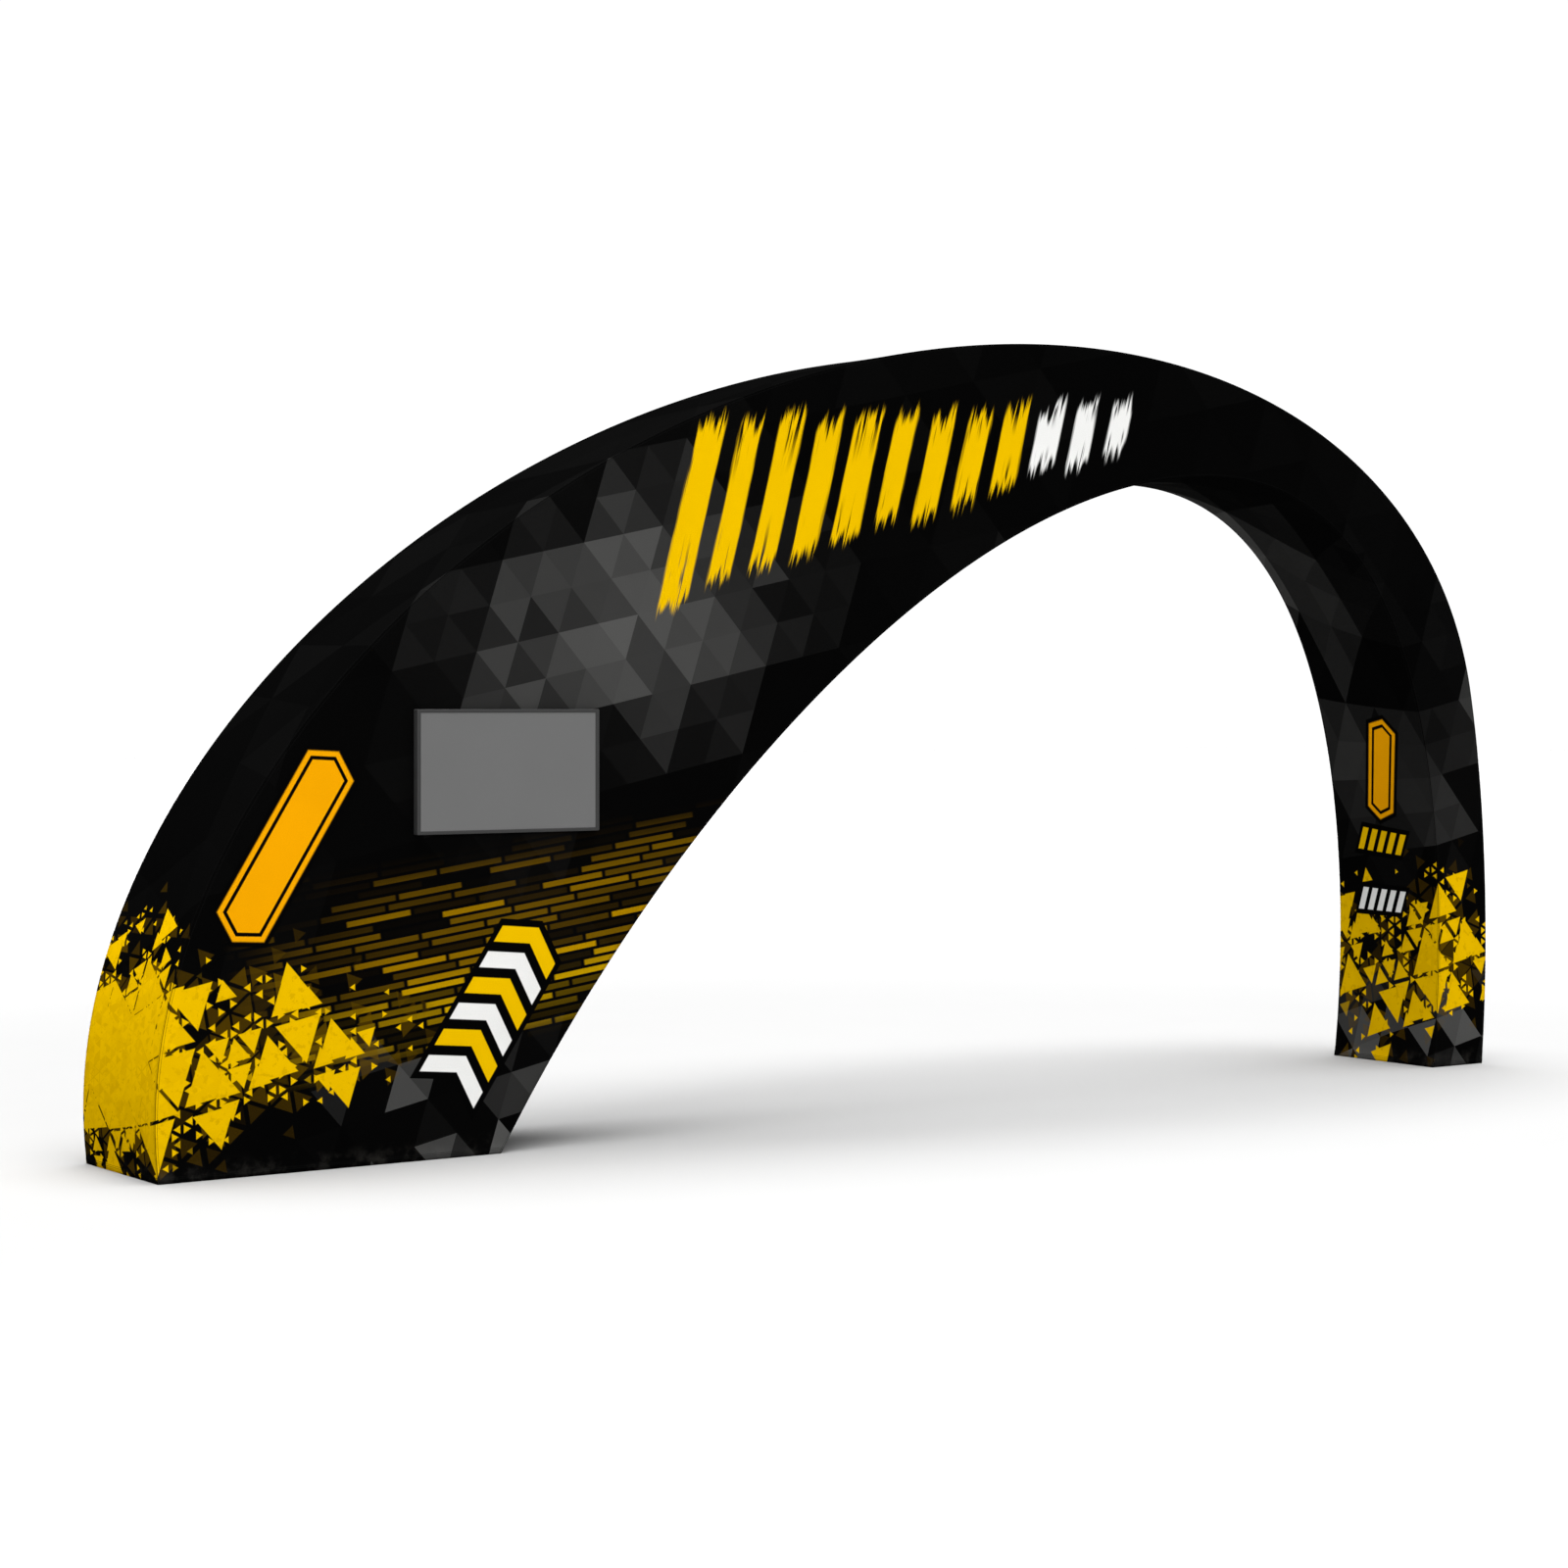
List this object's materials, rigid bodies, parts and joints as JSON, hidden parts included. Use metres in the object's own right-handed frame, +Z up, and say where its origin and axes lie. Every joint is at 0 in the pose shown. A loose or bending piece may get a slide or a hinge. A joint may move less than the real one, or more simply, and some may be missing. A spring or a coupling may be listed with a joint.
{
  "type": "fabric archway banner stand on a tube frame with a flat monitor",
  "caption": "Free-standing event archway: a stretch-cloth cover over a tube frame, with a broad leaning leg, a slim leg, an arched passage between them and a flat monitor on the front.",
  "frame": {"origin": "on the floor, under the middle of the whole stand's box, the monitor included", "axes": "+X along the arch from the broad leg to the slim leg, +Y from the front face with the monitor to the back face, +Z up"},
  "size_m": [6.2746, 0.6274, 3],
  "materials": {
    "printed_cloth": "dye-printed stretch polyester, matt, near-black with yellow and grey print",
    "frame_tube": "mill-finish square tube",
    "foot_steel": "dark grey powder coat",
    "monitor_plastic": "fine-textured dark grey moulding",
    "monitor_glass": "grey anti-glare panel, switched off"
  },
  "bodies": {
    "root": {"front_panel": "printed_cloth", "back_panel": "printed_cloth", "outer_gusset": "printed_cloth", "inner_gusset": "printed_cloth", "outer_rail_front_1": "frame_tube", "outer_rail_front_2": "frame_tube", "outer_rail_front_3": "frame_tube", "outer_rail_back_1": "frame_tube", "outer_rail_back_2": "frame_tube", "outer_rail_back_3": "frame_tube", "inner_rail_front_1": "frame_tube", "inner_rail_front_2": "frame_tube", "inner_rail_front_3": "frame_tube", "inner_rail_back_1": "frame_tube", "inner_rail_back_2": "frame_tube", "inner_rail_back_3": "frame_tube", "cross_frame_1": "frame_tube", "cross_frame_2": "frame_tube", "cross_frame_3": "frame_tube", "broad_foot": "foot_steel", "slim_foot": "foot_steel", "monitor_bar_low": "frame_tube", "monitor_bar_high": "frame_tube", "monitor_bracket": "foot_steel", "monitor_housing": "monitor_plastic", "monitor_bezel": "monitor_plastic", "monitor_screen": "monitor_glass"}
  },
  "joints": []
}
